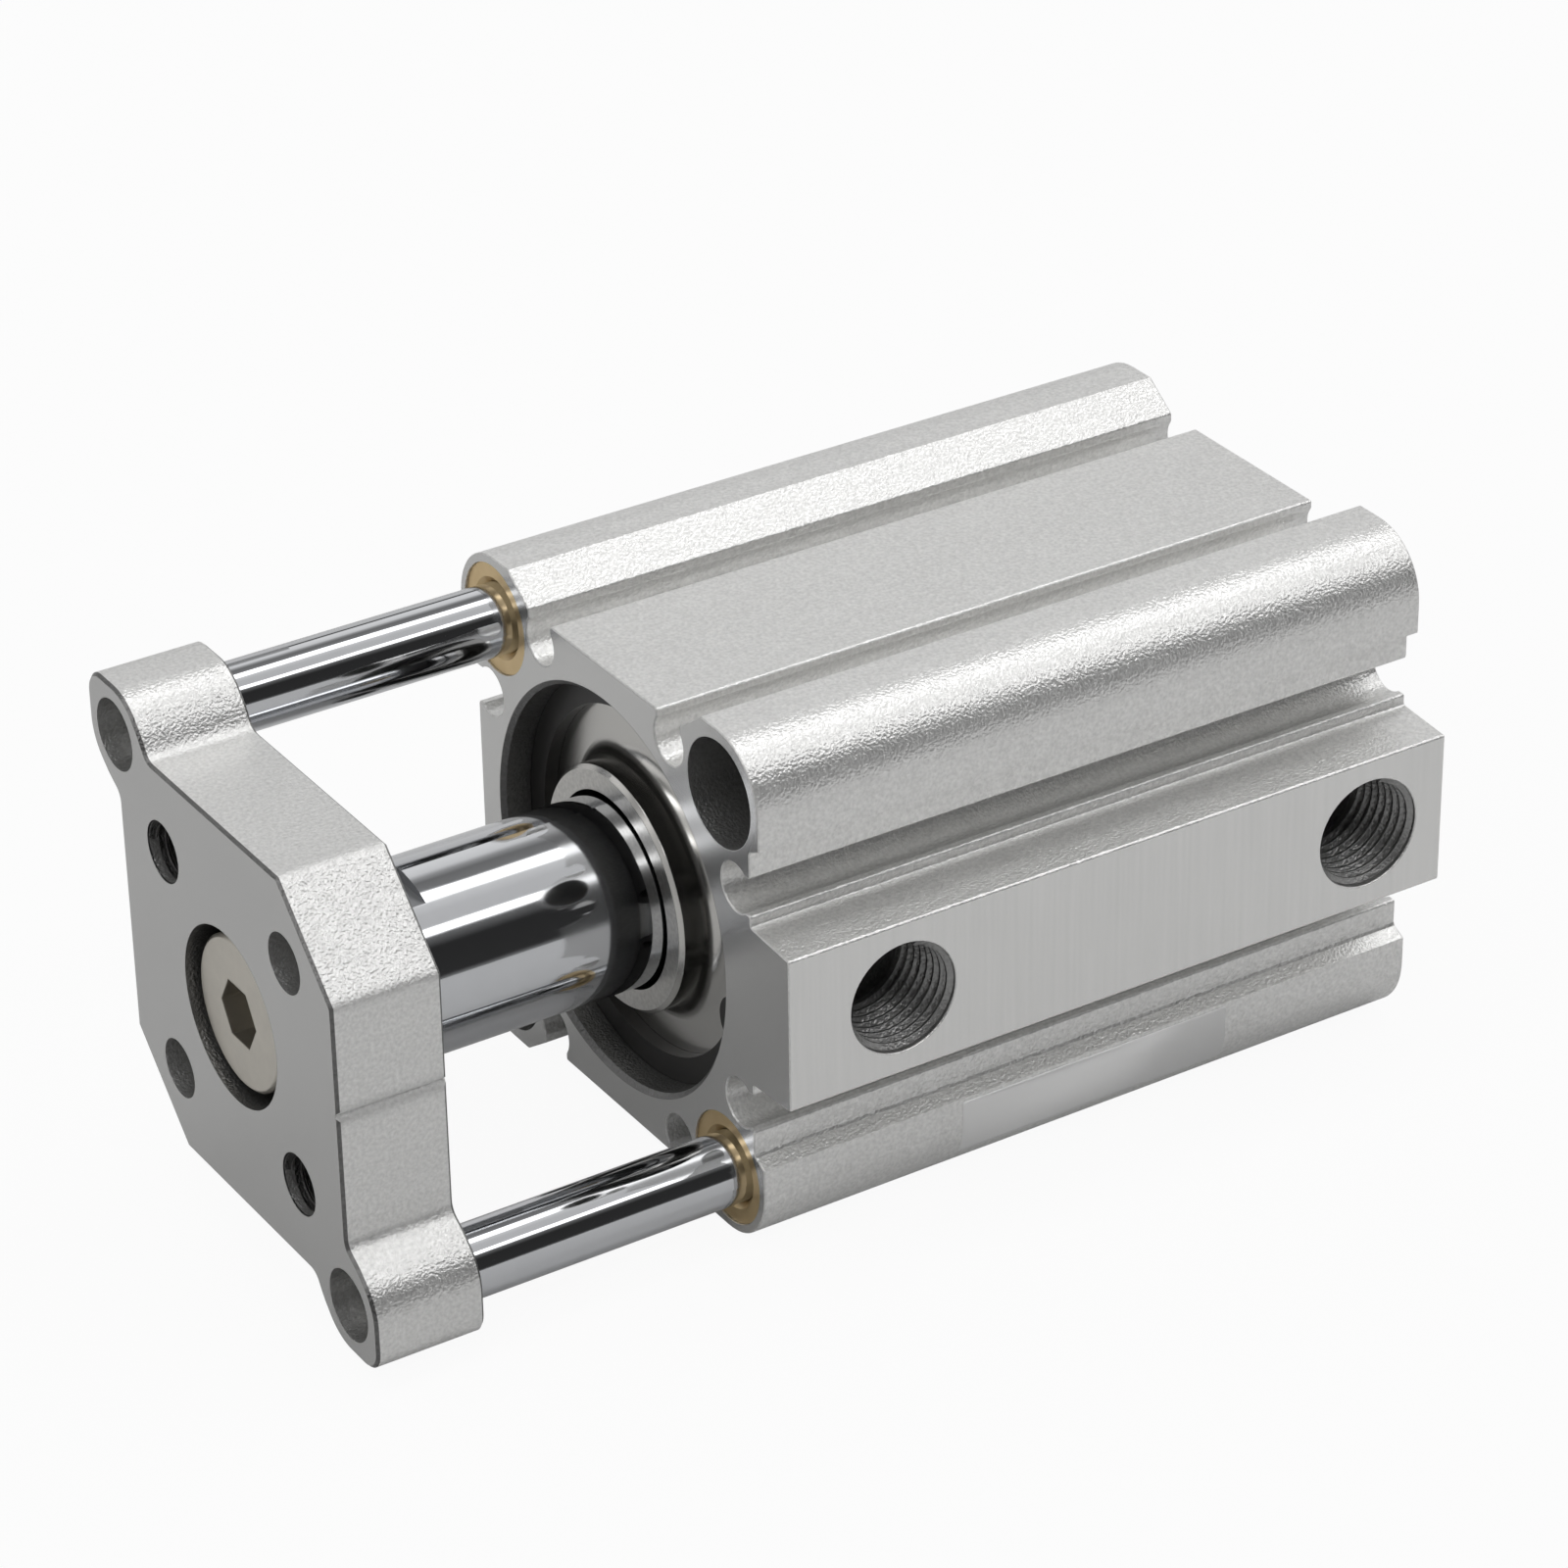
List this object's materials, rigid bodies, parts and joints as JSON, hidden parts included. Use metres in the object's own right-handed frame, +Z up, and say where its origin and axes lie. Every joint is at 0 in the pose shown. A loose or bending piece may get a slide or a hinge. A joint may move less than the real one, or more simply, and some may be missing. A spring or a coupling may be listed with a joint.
{
  "type": "guided pneumatic cylinder",
  "caption": "Compact double-acting pneumatic cylinder with a square extruded barrel, a guided end plate on a chromed piston rod, and threaded air ports on one side.",
  "frame": {"origin": "centre of the barrel's rear mounting face, on the piston's axis, which is also the centre of the two mounting holes", "axes": "+X is the way the rod travels out, +Y is the normal of the face with the air ports, +Z is up"},
  "size_m": [0.097, 0.049, 0.045],
  "materials": {
    "anodised_barrel": "satin clear anodised extrusion, fine blasted grain",
    "turned_cover": "fine turned, semi-gloss",
    "anodised_plate": "satin clear anodised, fine blasted grain",
    "piston_alloy": "turned",
    "hard_chrome": "ground and polished hard chrome",
    "bearing_bronze": "turned bearing bronze",
    "phosphated_spring_steel": "black phosphated",
    "nickel_plated_screw": "nickel plated, slightly warm",
    "guide_screw_steel": "zinc plated",
    "nitrile_rubber": "matt black",
    "bonded_magnet": "matt",
    "wear_ring_plastic": "matt",
    "urethane": "satin"
  },
  "bodies": {
    "barrel": {"cylinder_tube": "anodised_barrel", "rod_cover": "turned_cover", "rear_cover": "turned_cover", "rod_cover_o_ring": "nitrile_rubber", "rear_cover_o_ring": "nitrile_rubber", "rod_bush": "bearing_bronze", "rod_seal": "nitrile_rubber", "retaining_ring": "phosphated_spring_steel", "guide_bush_upper_front": "bearing_bronze", "guide_bush_upper_inner": "bearing_bronze", "guide_bush_lower_front": "bearing_bronze", "guide_bush_lower_inner": "bearing_bronze"},
    "slider": {"piston_rod": "hard_chrome", "piston": "piston_alloy", "piston_magnet": "bonded_magnet", "piston_seal": "nitrile_rubber", "wear_ring": "wear_ring_plastic", "front_bumper": "urethane", "rear_bumper": "urethane", "end_plate": "anodised_plate", "end_plate_screw": "nickel_plated_screw", "guide_rod_upper": "hard_chrome", "guide_rod_lower": "hard_chrome", "guide_screw_upper": "guide_screw_steel", "guide_screw_lower": "guide_screw_steel"}
  },
  "joints": [
    {"name": "rod_slide", "type": "slide", "parent": "barrel", "child": "slider", "axis": [1, 0, 0], "range_m": [-0.018, 0.012]}
  ]
}
